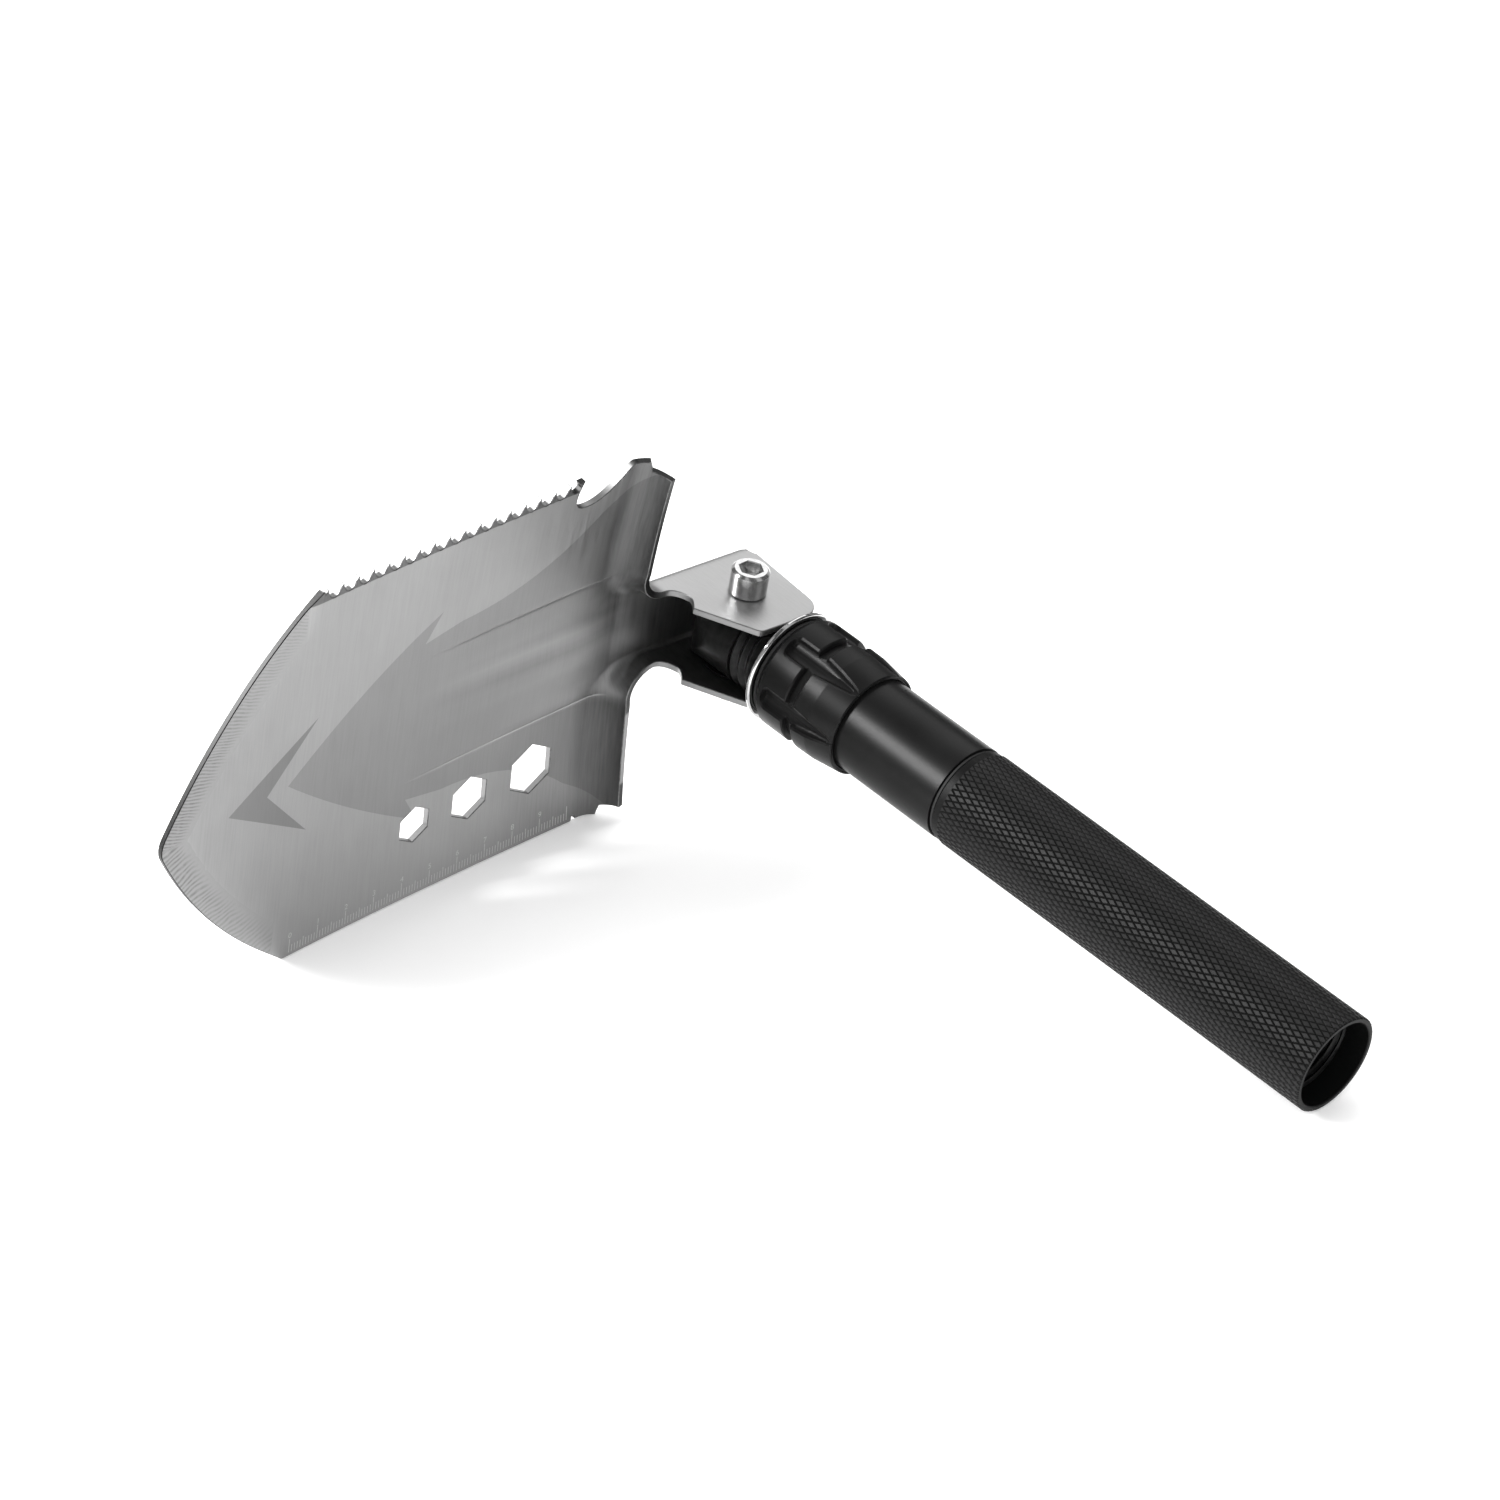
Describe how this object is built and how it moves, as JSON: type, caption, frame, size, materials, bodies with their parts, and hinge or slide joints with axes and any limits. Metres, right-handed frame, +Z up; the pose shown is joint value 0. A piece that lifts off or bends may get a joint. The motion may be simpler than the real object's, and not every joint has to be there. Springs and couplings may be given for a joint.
{
  "type": "folding camp shovel",
  "caption": "Folding camp shovel in its hoe position: pointed steel blade with saw, hook, ruler and spanner holes, hinged on a knurled tubular handle with a screw collar.",
  "frame": {"origin": "middle of the footprint, on the ground that the ruler edge and the grip's end stand on", "axes": "+X the way the handle runs from hinge to grip end, seen from above; -Y the way the blade's tip points; +Z up"},
  "size_m": [0.245, 0.209, 0.1183],
  "materials": {
    "blade_steel": "satin stainless, fine grain across the blade, darker etched arrows",
    "chrome_steel": "polished",
    "zinc_steel": "zinc plated",
    "dark_steel": "blackened and oiled",
    "bronze": "turned bronze",
    "black_anodised": "satin black anodised",
    "black_knurl": "black anodised over a diamond knurl",
    "seal_rubber": "matt black",
    "nylon": "natural nylon"
  },
  "bodies": {
    "handle": {"threaded_stub": "dark_steel", "hinge_bush": "bronze", "neck_tube": "black_anodised", "neck_grub_screw": "dark_steel", "coupling_spigot": "dark_steel", "coupling_seal": "seal_rubber", "grip_tube": "black_knurl", "end_thread_sleeve": "dark_steel"},
    "blade": {"blade": "blade_steel", "hinge_bolt": "chrome_steel", "nut_washer": "zinc_steel", "hinge_nut": "zinc_steel", "nut_nylon_ring": "nylon", "friction_washer_upper": "dark_steel", "friction_washer_lower": "dark_steel"},
    "ring": {"pressure_ring": "chrome_steel", "slip_washer": "seal_rubber"},
    "collar": {"lock_collar": "black_anodised", "collar_nut_sleeve": "dark_steel", "collar_wiper_ring": "seal_rubber"}
  },
  "joints": [
    {"name": "blade_fold", "type": "hinge", "parent": "handle", "child": "blade", "pos_m": [-0.09311, 0.0879, 0.05593], "axis": [0.1938, 0, 0.981], "range_deg": [-90, 80]},
    {"name": "ring_slide", "type": "slide", "parent": "handle", "child": "ring", "axis": [0.981, 0, -0.1938], "range_m": [-0.0016, 0.006]},
    {"name": "collar_spin", "type": "hinge", "parent": "ring", "child": "collar", "pos_m": [-0.09311, 0.0879, 0.05593], "axis": [0.981, 0, -0.1938], "range_deg": [-193, 721]}
  ],
  "couplings": [
    {"joint": "collar_spin", "follows": "ring_slide", "rad_per_m": 2094.4}
  ]
}
